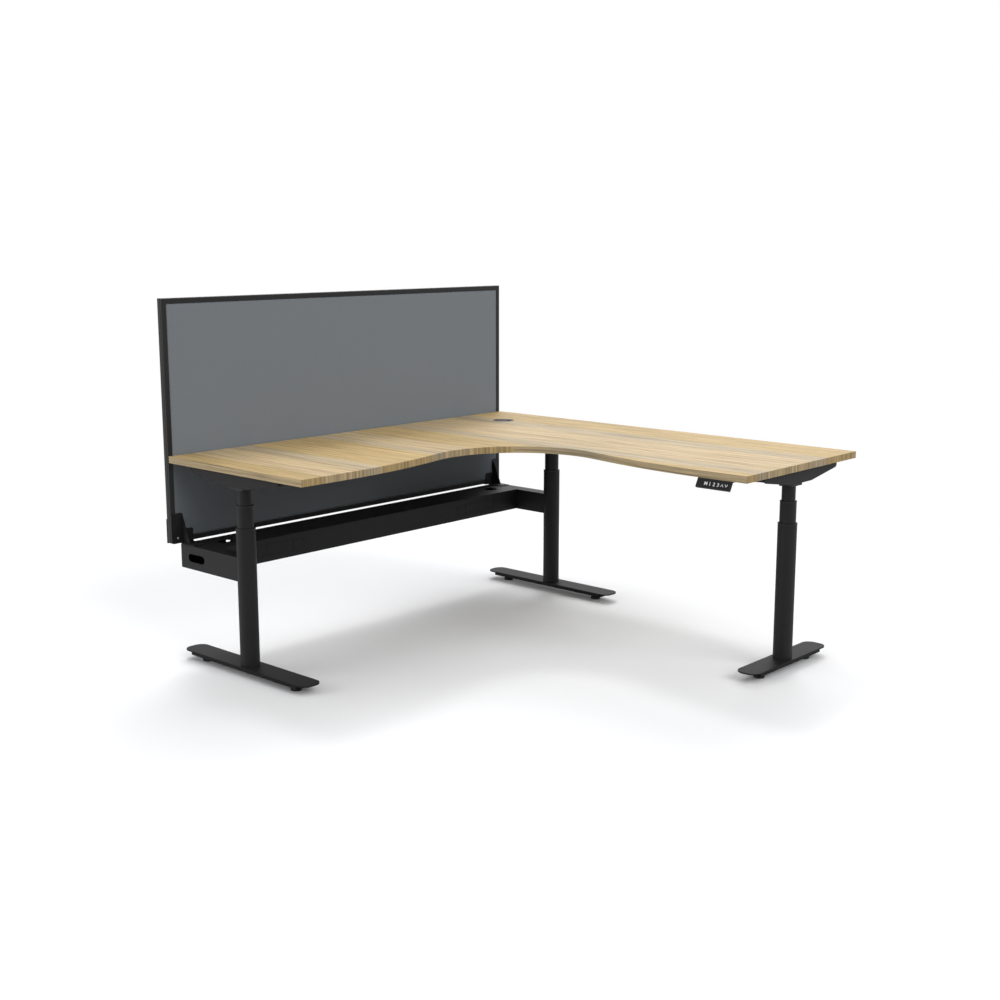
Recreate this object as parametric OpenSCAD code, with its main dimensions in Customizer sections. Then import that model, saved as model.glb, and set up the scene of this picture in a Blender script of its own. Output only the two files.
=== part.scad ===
// Height-adjustable corner workstation: an L-shaped worktop on three telescopic columns,
// a cable spine between the two rear legs and a fabric screen that stands on the spine.
// Millimetres. The origin lies on the floor under the middle of the whole piece.
// X runs along the screen, Y runs back to the screen and Z runs up.

/* [Worktop] */
// Length of the wing that runs along the screen
top_w = 1800; // [1500:10:2160]
// Length of the return wing
return_l = 1800; // [1500:10:2160]
// Depth of both wings at their ends
wing_d = 750; // [650:5:850]
// How much narrower each wing is beside the corner curve
neck_in = 78; // [60:2:100]
// Radius of the concave corner curve
corner_r = 335; // [280:5:400]
// Slope of the straight stretch of the inner edge, in degrees
edge_slope = 12.7; // [11:0.1:14]
// Length of that straight stretch
edge_straight_l = 100; // [60:5:140]
// Thickness of the board
top_t = 25; // [18:1:33]

/* [Grommet] */
// Distance of the grommet's centre from both back edges
grommet_in = 225; // [190:5:230]
// Hole through the board
grommet_hole_d = 80; // [60:1:82]
// Rebate that the flange lies in
grommet_flange_d = 92; // [90:1:96]
// Thickness of the flange
grommet_flange_t = 2.5; // [2:0.5:4]
// Width of the cable slot in the cap
cable_slot_w = 26; // [18:1:34]

/* [Columns] */
// Outside diameter of the fixed outer tube
outer_d = 70; // [68:1:84]
// Outside diameter of the middle tube
mid_d = 60; // [59:1:62]
// Outside diameter of the inner tube
inner_d = 50; // [49:1:52]
// Wall of all three tubes
tube_t = 2; // [1.5:0.5:2.5]
// Length of the outer tube
outer_l = 501; // [500:1:560]
// Length of middle tube that shows at rest
mid_show = 81; // [60:1:120]
// Length of inner tube that shows at rest
inner_show = 56; // [54:1:110]
// Height of the lip of each guide ring
ring_lip_h = 3; // [2:0.5:5]
// Distance of the column axes from the ends of the worktop
col_inset = 60; // [50:1:90]
// Distance of the left and back columns from the worktop's rear edge
col_back = 364; // [330:2:400]
// Distance of the return column from the worktop's outer edge
return_col_in = 374; // [340:2:400]

/* [Feet] */
// Width of each foot
foot_w = 90; // [80:1:110]
// Length of the left and back feet
long_foot_l = 700; // [600:5:750]
// Length of the foot under the return wing
short_foot_l = 505; // [450:5:600]
// Height of a foot's top above the floor
foot_h = 38; // [36:1:48]
// Thickness of the foot's top plate
foot_plate_t = 5; // [4:0.5:8]
// Radius of the top plate's corners
foot_corner_r = 35; // [15:1:39]
// Diameter of the levelling glides
glide_d = 40; // [30:1:50]
// Distance of the glides from the ends of the foot
glide_in = 95; // [60:1:120]

/* [Support arms] */
// Length of each arm under the worktop
arm_l = 500; // [440:5:600]
// Width of each arm
arm_w = 64; // [60:1:80]
// Depth of the arm at its ends
arm_end_h = 25; // [15:1:35]
// Depth of the arm along its flat middle
arm_mid_h = 53; // [50:1:60]
// Length of the flat middle
arm_flat_l = 140; // [100:5:200]
// Distance of the arm's middle from the worktop's edge
arm_back = 342; // [320:2:400]
// Depth of the drive units below the board
drive_drop = 62; // [58:1:75]

/* [Cable spine] */
// Height of the spine's top above the floor
spine_top_h = 436; // [380:2:450]
// Depth of the beam from top to bottom
spine_h = 88; // [75:1:100]
// Width of the beam from front to back
spine_d = 171; // [150:1:190]
// How far the beam's back stays in front of the line of the worktop's rear edge
spine_back = 10; // [5:1:30]
// Width of the two hollow arms that join the beam to the columns
spine_arm_w = 60; // [50:1:66]
// Wall of the beam and its arms
spine_t = 2; // [1.5:0.5:3]
// Diameter of the cable holes in the cover
cable_hole_d = 57; // [40:1:70]
// Distance of the cable holes from the ends of the worktop
cable_hole_in = 168; // [150:2:300]
// Length of the obround cable hole in each arm
obround_l = 98; // [70:1:110]
// Height of the obround cable hole
obround_h = 30; // [20:1:40]

/* [Screen] */
// Height of the screen
screen_h = 898; // [700:2:1200]
// Thickness of the frame
screen_t = 28; // [24:1:40]
// Width of the frame's front face
frame_face = 19; // [12:1:30]
// Gap between the worktop's rear edge and the screen
screen_gap = 3; // [2:0.5:20]

/* [Handset] */
// Length of the handset
handset_l = 136; // [110:1:170]
// Distance of the handset's middle from the end of the return wing
handset_in = 128; // [100:1:300]
// Height of the sloping front face
handset_face_h = 34; // [30:1:45]
// Slope of the front face, in degrees from upright
handset_tilt = 28; // [15:1:40]
// Thickness of the handset behind that face
handset_t = 11; // [8:1:16]
// Travel of a key
key_travel = 0.6; // [0.4:0.1:1]

/* [Hidden] */
$fn = 96;

// Fits: radial clearance of what slides or turns, of what is pressed or welded in,
// and the least gap between bodies that move past each other
run_fit = 0.08;
seat_fit = 0.05;
free_gap = 0.3;
// Overrun of every cut past the face it leaves
over = 1;

// Travel down from the height shown
lift_down = 100;

// Heights along a column
outer_top = foot_h + outer_l;
lower_lip_top = outer_top + ring_lip_h;
mid_top = lower_lip_top + mid_show - ring_lip_h;
upper_lip_top = mid_top + ring_lip_h;
drive_bottom = upper_lip_top + inner_show;
board_bottom = drive_bottom + drive_drop;
desk_h = board_bottom + top_t;

// Tube radii
outer_r = outer_d / 2;
mid_r = mid_d / 2;
inner_r = inner_d / 2;
ring_l = 60;
ring_proud = 0.75;

// Clearances at the lower ends of what slides in the columns, at the lowest setting
mid_foot_gap = 14;
tube_foot_gap = 23;
spindle_foot_gap = 14;
mid_bottom = foot_h + mid_foot_gap + lift_down / 2;
plug_t = 12;
inner_bottom = mid_bottom + plug_t + tube_foot_gap + lift_down / 2;

// Drive inside each column
spindle_d = 13;
hollow_wall = 3;
hollow_bore_gap = 1;
hollow_r = spindle_d / 2 + hollow_bore_gap + hollow_wall;
nut_tube_wall = 3;
nut_tube_gap = 2;
nut_tube_r = hollow_r + nut_tube_gap + nut_tube_wall;
nut_l = 25;
carrier_gap = 1.5;
carrier_wall = 3;
carrier_bore_r = nut_tube_r + carrier_gap;
carrier_r = carrier_bore_r + carrier_wall;
upper_nut_l = 34;
ledge_t = 5;
ledge_gap = 1.5;
head_t = 10;
head_gap = 2;
carrier_top = mid_top - 70;
upper_nut_bottom = carrier_top - upper_nut_l;
head_top = upper_nut_bottom - free_gap;
head_bottom = head_top - head_t;
ledge_top = head_bottom - free_gap;
nut_tube_top = ledge_top - ledge_t - lift_down / 2 - carrier_gap - ledge_gap;
nut_flange_t = 4;
spindle_bottom = foot_h + spindle_foot_gap + lift_down;
hollow_bottom = mid_bottom - ledge_t;
spindle_seat_l = 20;

// Feet and glides
foot_clear = 21;
foot_wall = 3;
channel_side_in = 5;
channel_end_in = 40;
channel_corner_r = 12;
glide_disc_h = 12;
glide_edge_h = 3;
glide_neck_h = 4;
glide_neck_d = 17;
stud_d = 10;
stud_top_gap = 2;
boss_d = 20;
boss_roof = 2;
boss_proud = 3;

// Support arms and drive units
arm_t = 2.5;
arm_lug_l = 20;
arm_nose = 6;
arm_r = 6;
arm_hole_d = 5;
arm_hole_in = 18;
drive_w = 56;
drive_l = 77;
drive_shift = 10.5;
drive_corner_r = 8;
tube_socket_l = 12;
motor_d = 40;
motor_l = 105;
motor_cap_l = 14;
motor_cap_in = 2;
motor_drop = 0.5;

// Cross rails
rail_w = 40;
rail_h = 20;
rail_t = 1.5;
main_rails_back = [300, 430];
return_rails_in = [300, 450];

// Control box
box_l = 240;
box_w = 96;
box_h = 34;
box_r = 8;
box_x = 760;
box_y = 190;
ear_l = 18;
ear_t = 3;
ear_hole_d = 5;
socket_w = 16;
socket_h = 12;
socket_deep = 9;
socket_pitch = 24;
sockets = 3;
inlet_w = 28;
inlet_h = 20;

// Grommet
liner_wall = 2;
cap_t = 1.4;
cap_edge = 2;
cap_skirt_l = 12;
cap_skirt_t = 1.6;
slot_edge_in = 12;

// Cable spine
saddle_gap = 0.2;
groove_w = 2;
groove_deep = 1;
arm_window_l = 120;
arm_window_h = 60;
obround_back = 103;
obround_drop = 45;
fix_hole_d = 4;
fix_pitch = 40;
cover_hole_back = 95;
knock_cells = [50, 130, 50];
knock_h = 40;
knock_drop = 25;
knock_in = 242;
knock_line = 2;
knock_deep = 1.2;
exit_l = 22;
exit_h = 11;
exit_in = 243;
exit_drop = 22;

// Screen
frame_wall = 2;
frame_edge_r = 3;
side_groove_w = 2;
side_groove_deep = 1;
side_groove_in = 8;
fabric_t = 1.5;
fabric_in = 1.5;

// The screen is as long as the wing in front of it
screen_w = top_w;

// Screen brackets, measured from the end of the screen
plate_t = 3;
tall_tab_in = 6;
tall_tab_w = 44;
tall_tab_h = 113;
short_tab_in = 56;
short_tab_w = 38;
short_tab_h = 51;
tab_r = 9;
gusset_in = 44;
gusset_out = 46;
gusset_top = 6;
gusset_h = 98;
bracket_foot_w = 50;
bracket_foot_in = col_inset - bracket_foot_w / 2;
bracket_foot_l = 86;
rear_plate_h = 91;

// Handset
handset_deep = 62;
handset_top_out = 1;
handset_hole_d = 4;
handset_hole_in = 14;
key_w = 12.5;
key_h = 17;
key_t = 2.6;
key_proud = 0.5;
key_r = 1.5;
key_pitch = 16.3;
first_key_in = 15.6;
keys = 6;
key_lower = 1;

// Overall depth, which sets where the origin lies
back_stack = screen_gap + screen_t + plate_t;
whole_l = return_l + back_stack;
corner_x = top_w / 2;
corner_y = whole_l / 2 - back_stack;

// Columns: left, back and return
leg_at = [
    [-(top_w - col_inset), -col_back],
    [-col_inset, -col_back],
    [-return_col_in, -(return_l - col_inset)]
];
leg_turn = [0, 0, -90];
leg_arm_shift = [col_back - arm_back, col_back - arm_back, return_col_in - arm_back];
foot_l = [long_foot_l, long_foot_l, short_foot_l];

// Inner edge of the worktop: u runs along a wing from the corner, v is the depth there
curve_c = wing_d - neck_in + corner_r;
sweep_r = (neck_in - edge_straight_l * sin(edge_slope)) / (1 - cos(edge_slope)) - corner_r;
u_corner = curve_c + corner_r * sin(edge_slope);
v_corner = curve_c - corner_r * cos(edge_slope);
u_sweep = u_corner + edge_straight_l * cos(edge_slope);
u_full = u_sweep + sweep_r * sin(edge_slope);
sweep_steps = 14;

function sweep_depth(u) = wing_d - sweep_r + sqrt(pow(sweep_r, 2) - pow(u_full - u, 2));
function end_depth(len) = u_full < len ? wing_d : sweep_depth(len);
function sweep_points(len) = [
    for (k = [0:sweep_steps])
        let (a = edge_slope * (1 - k / sweep_steps), u = u_full - sweep_r * sin(a))
            if (u < len) [u, wing_d - sweep_r * (1 - cos(a))]
];
function inner_edge(len) = concat([[u_corner, v_corner]], sweep_points(len), [[len, end_depth(len)]]);
function reversed(list) = [for (k = [len(list) - 1:-1:0]) list[k]];

// Everything is drawn from the worktop's rear corner at floor level, with the desk at -X and -Y
module from_corner() {
    translate([corner_x, corner_y, 0]) children();
}

// A column's own frame: its axis at the origin and +Y towards the worktop's outer edge
module at_leg(i) {
    from_corner()
        translate([leg_at[i][0], leg_at[i][1], 0]) rotate([0, 0, leg_turn[i]]) children();
}

module rounded_rect(w, l, r) {
    square([w - 2 * r, l], center = true);
    square([w, l - 2 * r], center = true);
    for (x = [-1, 1], y = [-1, 1])
        translate([x * (w / 2 - r), y * (l / 2 - r)]) circle(r);
}

module ring(r_out, r_in, z0, z1) {
    translate([0, 0, z0]) difference() {
        cylinder(h = z1 - z0, r = r_out);
        translate([0, 0, -over]) cylinder(h = z1 - z0 + 2 * over, r = r_in);
    }
}

module obround(l, h) {
    square([l - h, h], center = true);
    for (x = [-1, 1]) translate([x * (l - h) / 2, 0]) circle(h / 2);
}

// Worktop, cut round the user with one concave curve and a long sweep out to each end
module worktop_outline() {
    edge = inner_edge(top_w);
    side = inner_edge(return_l);
    difference() {
        polygon(concat(
            [[0, 0], [0, -return_l]],
            [for (p = reversed(side)) [-p[1], -p[0]]],
            [for (p = edge) [-p[0], -p[1]]],
            [[-top_w, 0]]
        ));
        translate([-curve_c, -curve_c]) circle(corner_r, $fn = 180);
        translate([-grommet_in, -grommet_in]) circle(grommet_hole_d / 2);
    }
}

module worktop() {
    color([0.76, 0.66, 0.5]) from_corner() difference() {
        translate([0, 0, board_bottom]) linear_extrude(top_t) worktop_outline();
        translate([-grommet_in, -grommet_in, desk_h - grommet_flange_t])
            cylinder(h = grommet_flange_t + over, r = grommet_flange_d / 2 + seat_fit);
    }
}

// Grommet: a flanged liner flush with the board, and a cap that turns in it
liner_r = grommet_hole_d / 2 - seat_fit;
liner_bore_r = liner_r - liner_wall;
cap_r = grommet_flange_d / 2 - cap_edge;

module grommet_liner() {
    color([0.2, 0.2, 0.22]) from_corner() translate([-grommet_in, -grommet_in, 0]) {
        difference() {
            union() {
                translate([0, 0, desk_h - grommet_flange_t])
                    cylinder(h = grommet_flange_t, r = grommet_flange_d / 2);
                translate([0, 0, board_bottom]) cylinder(h = top_t - grommet_flange_t, r = liner_r);
            }
            translate([0, 0, board_bottom - over]) cylinder(h = top_t + 2 * over, r = liner_bore_r);
            translate([0, 0, desk_h - cap_t - free_gap])
                cylinder(h = cap_t + free_gap + over, r = cap_r + run_fit);
        }
    }
}

module grommet_cap() {
    skirt_r = liner_bore_r - run_fit;
    color([0.24, 0.25, 0.27]) from_corner() translate([-grommet_in, -grommet_in, 0]) difference() {
        union() {
            translate([0, 0, desk_h - cap_t]) cylinder(h = cap_t, r = cap_r);
            ring(skirt_r, skirt_r - cap_skirt_t, desk_h - cap_t - cap_skirt_l, desk_h - cap_t);
        }
        translate([0, 0, desk_h - cap_t - cap_skirt_l - over])
            linear_extrude(cap_t + cap_skirt_l + 2 * over) {
                translate([0, slot_edge_in - cap_r]) circle(cable_slot_w / 2);
                translate([-cable_slot_w / 2, -cap_r - over])
                    square([cable_slot_w, slot_edge_in + over]);
            }
    }
}

// Foot: a rounded plate over a narrower channel, with a threaded boss for each glide
glide_top_z = foot_h - boss_roof - stud_top_gap;

module foot(i) {
    l = foot_l[i];
    w = foot_w - 2 * channel_side_in;
    h = foot_h - foot_plate_t - foot_clear;
    boss_z = foot_clear - boss_proud;
    color([0.13, 0.13, 0.14]) at_leg(i) difference() {
        union() {
            translate([0, 0, foot_h - foot_plate_t])
                linear_extrude(foot_plate_t) rounded_rect(foot_w, l, foot_corner_r);
            translate([0, 0, foot_clear]) difference() {
                linear_extrude(h) rounded_rect(w, l - 2 * channel_end_in, channel_corner_r);
                translate([0, 0, (h + foot_wall + over) / 2])
                    cube([w - 2 * foot_wall, l, h - foot_wall + over], center = true);
            }
            for (s = [-1, 1])
                translate([0, s * (l / 2 - glide_in), boss_z])
                    cylinder(h = foot_h - foot_plate_t - boss_z, r = boss_d / 2);
        }
        for (s = [-1, 1])
            translate([0, s * (l / 2 - glide_in), boss_z - over])
                cylinder(h = foot_h - boss_roof - boss_z + over, r = stud_d / 2 + run_fit);
    }
}

// Levelling glide: a disc with a bevelled rim, a hexagonal neck and a stud
module glide(i, side) {
    color([0.05, 0.05, 0.05]) at_leg(i) translate([0, side * (foot_l[i] / 2 - glide_in), 0]) {
        rotate_extrude() polygon([
            [0, 0], [glide_d / 2, 0], [glide_d / 2, glide_disc_h - glide_edge_h],
            [glide_d / 2 - glide_edge_h, glide_disc_h], [0, glide_disc_h]
        ]);
        translate([0, 0, glide_disc_h]) cylinder(h = glide_neck_h, r = glide_neck_d / 2, $fn = 6);
        translate([0, 0, glide_disc_h]) cylinder(h = glide_top_z - glide_disc_h, r = stud_d / 2);
    }
}

// Column tubes and the guide rings that they slide in
module outer_tube(i) {
    color([0.15, 0.15, 0.16]) at_leg(i) ring(outer_r, outer_r - tube_t, foot_h, outer_top);
}

module lower_guide_rings() {
    color([0.06, 0.06, 0.06]) for (i = [0:2]) at_leg(i) {
        ring(outer_r - tube_t - seat_fit, mid_r + run_fit, outer_top - ring_l, outer_top);
        ring(outer_r + ring_proud, mid_r + run_fit, outer_top, lower_lip_top);
    }
}

module mid_tube(i) {
    color([0.16, 0.16, 0.17]) at_leg(i) ring(mid_r, mid_r - tube_t, mid_bottom, mid_top);
}

module upper_guide_ring(i) {
    color([0.06, 0.06, 0.06]) at_leg(i) {
        ring(mid_r - tube_t - seat_fit, inner_r + run_fit, mid_top - ring_l, mid_top);
        ring(mid_r + ring_proud, inner_r + run_fit, mid_top, upper_lip_top);
    }
}

module inner_tube(i) {
    color([0.16, 0.16, 0.17]) at_leg(i)
        ring(inner_r, inner_r - tube_t, inner_bottom, drive_bottom + tube_socket_l);
}

// Inside the column: the drive spindle turns a hollow spindle that is keyed on it. The drive
// spindle climbs in the nut of the middle tube, the hollow spindle in the nut of the foot.
module nut_tubes() {
    color([0.6, 0.6, 0.62]) for (i = [0:2]) at_leg(i) {
        ring(outer_r - tube_t - carrier_gap, nut_tube_r - nut_tube_wall, foot_h, foot_h + nut_flange_t);
        ring(nut_tube_r, nut_tube_r - nut_tube_wall, foot_h + nut_flange_t, nut_tube_top - nut_l);
        ring(nut_tube_r, hollow_r + run_fit, nut_tube_top - nut_l, nut_tube_top);
    }
}

module nut_carrier(i) {
    color([0.75, 0.74, 0.7]) at_leg(i) {
        ring(mid_r - tube_t - seat_fit, carrier_bore_r, mid_bottom, mid_bottom + plug_t);
        ring(carrier_r, carrier_bore_r, mid_bottom + plug_t, upper_nut_bottom);
        ring(carrier_bore_r, hollow_r + ledge_gap, ledge_top - ledge_t, ledge_top);
        ring(carrier_r, spindle_d / 2 + run_fit, upper_nut_bottom, carrier_top);
    }
}

module hollow_spindle(i) {
    color([0.55, 0.55, 0.57]) at_leg(i) {
        ring(hollow_r, hollow_r - hollow_wall, hollow_bottom, head_bottom);
        ring(carrier_bore_r - head_gap, spindle_d / 2 + run_fit, head_bottom, head_top);
    }
}

module spindle(i) {
    color([0.62, 0.62, 0.64]) at_leg(i) translate([0, 0, spindle_bottom])
        cylinder(h = drive_bottom + tube_socket_l + spindle_seat_l - spindle_bottom, r = spindle_d / 2);
}

// Drive unit: a gearbox over the column with its motor lying along the arm
module drive_unit(i) {
    box_top = board_bottom - arm_t;
    motor_z = box_top - motor_drop - motor_d / 2;
    color([0.1, 0.1, 0.1]) at_leg(i) difference() {
        union() {
            translate([0, drive_shift, drive_bottom])
                linear_extrude(box_top - drive_bottom) rounded_rect(drive_w, drive_l, drive_corner_r);
            translate([0, drive_shift + drive_l / 2, motor_z]) rotate([-90, 0, 0]) {
                cylinder(h = motor_l - motor_cap_l, r = motor_d / 2);
                cylinder(h = motor_l, r = motor_d / 2 - motor_cap_in);
            }
        }
        translate([0, 0, drive_bottom - over])
            cylinder(h = tube_socket_l + over, r = inner_r + seat_fit);
        translate([0, 0, drive_bottom])
            cylinder(h = tube_socket_l + spindle_seat_l + over, r = spindle_d / 2 + run_fit);
    }
}

// Support arm: a folded tray, deepest over the column, with a lug towards the user
module support_arm(i) {
    y0 = leg_arm_shift[i] - arm_l / 2;
    y1 = leg_arm_shift[i] + arm_l / 2;
    f0 = leg_arm_shift[i] - arm_flat_l / 2;
    f1 = leg_arm_shift[i] + arm_flat_l / 2;
    color([0.15, 0.15, 0.16]) at_leg(i) difference() {
        union() {
            translate([-arm_w / 2, 0, board_bottom]) rotate([90, 0, 90]) linear_extrude(arm_w) polygon([
                [y0, 0], [y0, arm_nose - arm_end_h], [y0 + arm_nose, -arm_end_h],
                [f0, -arm_mid_h], [f1, -arm_mid_h],
                [y1 - arm_nose, -arm_end_h], [y1, arm_nose - arm_end_h], [y1, 0]
            ]);
            translate([-arm_w / 2 + arm_r, y0 - arm_lug_l, board_bottom - arm_t])
                cube([arm_w - 2 * arm_r, arm_lug_l + over, arm_t]);
        }
        translate([-arm_w / 2 + arm_t, y0 + arm_t, board_bottom - arm_t - arm_mid_h])
            cube([arm_w - 2 * arm_t, arm_l - 2 * arm_t, arm_mid_h]);
        for (y = [y0 - arm_lug_l / 2, y0 + arm_hole_in + arm_t, y1 - arm_hole_in])
            translate([0, y, board_bottom - arm_t - over])
                cylinder(h = arm_t + 2 * over, r = arm_hole_d / 2);
    }
}

// Cross rails: box sections, two between the rear arms and two out to the return arm
module rail(l) {
    difference() {
        cube([l, rail_w, rail_h]);
        translate([-over, rail_t, rail_t])
            cube([l + 2 * over, rail_w - 2 * rail_t, rail_h - 2 * rail_t]);
    }
}

module cross_rails() {
    main_l = top_w - 2 * col_inset - arm_w;
    return_y = -(main_rails_back[1] + rail_w / 2);
    return_end = -(return_l - col_inset - arm_w / 2);
    color([0.14, 0.14, 0.15]) from_corner() {
        for (b = main_rails_back)
            translate([-(top_w - col_inset - arm_w / 2), -b - rail_w / 2, board_bottom - rail_h])
                rail(main_l);
        for (x = return_rails_in)
            translate([-x + rail_w / 2, return_end, board_bottom - rail_h])
                rotate([0, 0, 90]) rail(return_y - return_end);
    }
}

// Control box: a plastic housing with ears, three motor sockets and a mains inlet
module control_box() {
    color([0.12, 0.12, 0.13]) from_corner() translate([-box_x, -box_y, board_bottom]) difference() {
        union() {
            translate([0, 0, -box_h]) linear_extrude(box_h) rounded_rect(box_l, box_w, box_r);
            translate([0, 0, -ear_t])
                linear_extrude(ear_t) rounded_rect(box_l + 2 * ear_l, box_w / 2, box_r);
        }
        for (s = [-1, 1])
            translate([s * (box_l + ear_l) / 2, 0, -ear_t - over])
                cylinder(h = ear_t + 2 * over, r = ear_hole_d / 2);
        for (k = [0:sockets - 1])
            translate([box_l / 2 - socket_pitch * (k + 1), -box_w / 2 - over, -box_h / 2])
                translate([-socket_w / 2, 0, -socket_h / 2])
                    cube([socket_w, socket_deep + over, socket_h]);
        translate([-box_l / 2 + socket_pitch, -box_w / 2 - over, -box_h / 2])
            translate([0, 0, -inlet_h / 2]) cube([inlet_w, socket_deep + over, inlet_h]);
    }
}

// Handset: a slab turned up to the user, hung by a flange under the edge of the return wing
face_drop = handset_face_h * cos(handset_tilt);
face_out = handset_face_h * sin(handset_tilt);

module at_handset() {
    from_corner() translate([-wing_d, -(return_l - handset_in), board_bottom]) children();
}

module on_face() {
    at_handset() translate([-handset_top_out, -handset_l / 2, 0])
        rotate([0, handset_tilt - 90, 0]) rotate([0, 0, 90]) children();
}

module handset_body() {
    back_x = handset_t * cos(handset_tilt) - handset_top_out;
    flange_t = handset_t * sin(handset_tilt);
    color([0.16, 0.16, 0.17]) difference() {
        at_handset() translate([0, handset_l / 2, 0]) rotate([90, 0, 0]) linear_extrude(handset_l)
            polygon([
                [handset_deep, 0], [-handset_top_out, 0], [-handset_top_out - face_out, -face_drop],
                [back_x - face_out, -face_drop - flange_t], [back_x, -flange_t],
                [handset_deep, -flange_t]
            ]);
        for (s = [-1, 1]) at_handset()
            translate([
                handset_deep - handset_hole_in, s * (handset_l / 2 - handset_hole_in), -flange_t - over
            ]) cylinder(h = flange_t + 2 * over, r = handset_hole_d / 2);
        for (k = [0:keys - 1]) key_at(k)
            translate([0, 0, (over - key_t - key_travel + key_proud - free_gap) / 2])
                cube([
                    key_w + 2 * free_gap, key_h + 2 * free_gap,
                    key_t + key_travel - key_proud + free_gap + over
                ], center = true);
    }
}

module key_at(k) {
    on_face() translate([
        first_key_in + key_pitch * (keys - 1 - k), handset_face_h / 2 + key_lower, 0
    ]) children();
}

module key(k) {
    color([0.2, 0.2, 0.21]) key_at(k) translate([0, 0, key_proud - key_t])
        linear_extrude(key_t) rounded_rect(key_w, key_h, key_r);
}

// Cable spine: a folded trough between two hollow arms, with a lid
beam_x0 = -(top_w - col_inset - spine_arm_w / 2);
beam_x1 = -(col_inset + spine_arm_w / 2);
beam_y0 = -spine_back - spine_d;
spine_bottom_h = spine_top_h - spine_h;

module knock_out(w, h) {
    difference() {
        cube([w + knock_line, knock_deep + over, h + knock_line]);
        translate([knock_line, -over, knock_line])
            cube([w - knock_line, knock_deep + 3 * over, h - knock_line]);
    }
}

function running(list, n) = n == 0 ? 0 : list[n - 1] + running(list, n - 1);
knock_l = running(knock_cells, len(knock_cells));

module spine_beam() {
    color([0.12, 0.12, 0.13]) from_corner() difference() {
        translate([beam_x0, beam_y0, spine_bottom_h])
            cube([beam_x1 - beam_x0, spine_d, spine_h - spine_t]);
        translate([beam_x0 - over, beam_y0 + spine_t, spine_bottom_h + spine_t])
            cube([beam_x1 - beam_x0 + 2 * over, spine_d - 2 * spine_t, spine_h]);
        for (x = [-(top_w - knock_in), -knock_in - knock_l], n = [0:len(knock_cells) - 1])
            translate([
                x + running(knock_cells, n), beam_y0 - over, spine_top_h - knock_drop - knock_h
            ]) knock_out(knock_cells[n], knock_h);
        // Cable exits in the back wall
        for (x = [-(top_w - exit_in), -exit_in])
            translate([x, over - spine_back, spine_top_h - exit_drop]) rotate([90, 0, 0])
                linear_extrude(spine_t + 2 * over) obround(exit_l, exit_h);
    }
}

module spine_cover() {
    color([0.12, 0.12, 0.13]) from_corner() difference() {
        translate([beam_x0, beam_y0, spine_top_h - spine_t])
            cube([beam_x1 - beam_x0, spine_d, spine_t]);
        for (x = [-(top_w - cable_hole_in), -cable_hole_in])
            translate([x, -cover_hole_back, spine_top_h - spine_t - over])
                cylinder(h = spine_t + 2 * over, r = cable_hole_d / 2);
    }
}

module spine_arm(side) {
    // side is 0 for the left arm and 1 for the right one
    x = side == 0 ? -(top_w - col_inset) : -col_inset;
    out = side == 0 ? -1 : 1;
    far = -col_back;
    l = -far - spine_back;
    color([0.14, 0.14, 0.15]) from_corner() translate([x, 0, 0]) difference() {
        translate([-spine_arm_w / 2, far, spine_bottom_h]) cube([spine_arm_w, l, spine_h]);
        translate([-spine_arm_w / 2 + spine_t, far - over, spine_bottom_h + spine_t])
            cube([spine_arm_w - 2 * spine_t, l - spine_t + over, spine_h - 2 * spine_t]);
        translate([0, far, spine_bottom_h - over])
            cylinder(h = spine_h + 2 * over, r = outer_r + saddle_gap);
        translate([-groove_w / 2, far - over, spine_top_h - groove_deep])
            cube([groove_w, l - spine_t, groove_deep + over]);
        // Window to the trough
        translate([-out * spine_arm_w / 2, beam_y0 + spine_d / 2, spine_bottom_h + spine_h / 2])
            cube([2 * spine_t + over, arm_window_l, arm_window_h], center = true);
        // Cable hole and its four fixing holes in the outer face
        translate([out * spine_arm_w / 2, -obround_back, spine_top_h - obround_drop])
            rotate([90, 0, 90]) {
                translate([0, 0, -spine_t - over / 2])
                    linear_extrude(2 * spine_t + over) obround(obround_l, obround_h);
                for (a = [-1, 1], b = [-1, 1])
                    translate([a * fix_pitch / 2, b * fix_pitch / 2, -spine_t - over / 2])
                        cylinder(h = 2 * spine_t + over, r = fix_hole_d / 2);
            }
    }
}

// Screen: four mitred hollow extrusions round a board with fabric stretched on both sides
screen_x = -screen_w;
screen_z = spine_top_h + plate_t;

module frame_section() {
    // Section of a member: x from the outer edge inwards, y from front to back
    difference() {
        union() {
            translate([frame_edge_r, 0]) square([frame_face - frame_edge_r, screen_t]);
            translate([0, frame_edge_r]) square([frame_face, screen_t - 2 * frame_edge_r]);
            for (y = [frame_edge_r, screen_t - frame_edge_r])
                translate([frame_edge_r, y]) circle(frame_edge_r);
        }
        translate([frame_wall + side_groove_deep, frame_wall])
            square([frame_face - 2 * frame_wall - side_groove_deep, screen_t - 2 * frame_wall]);
        translate([-over, side_groove_in])
            square([side_groove_deep + over, side_groove_w]);
    }
}

module frame_member(l) {
    // Lies along X from 0 to l with its outer edge at z = 0, mitred at both ends
    difference() {
        rotate([90, 0, 90]) linear_extrude(l) mirror([1, -1, 0]) frame_section();
        rotate([0, 45, 0]) translate([-2 * screen_t, -over, 0])
            cube([2 * screen_t, screen_t + 2 * over, 2 * screen_t]);
        translate([l, 0, 0]) rotate([0, -45, 0]) translate([0, -over, 0])
            cube([2 * screen_t, screen_t + 2 * over, 2 * screen_t]);
    }
}

module screen_frame() {
    color([0.1, 0.1, 0.1]) from_corner() translate([screen_x, screen_gap, screen_z]) {
        frame_member(screen_w);
        translate([0, 0, screen_h]) mirror([0, 0, 1]) frame_member(screen_w);
        mirror([1, 0, -1]) frame_member(screen_h);
        translate([screen_w, 0, 0]) mirror([1, 0, 0]) mirror([1, 0, -1]) frame_member(screen_h);
    }
}

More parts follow.
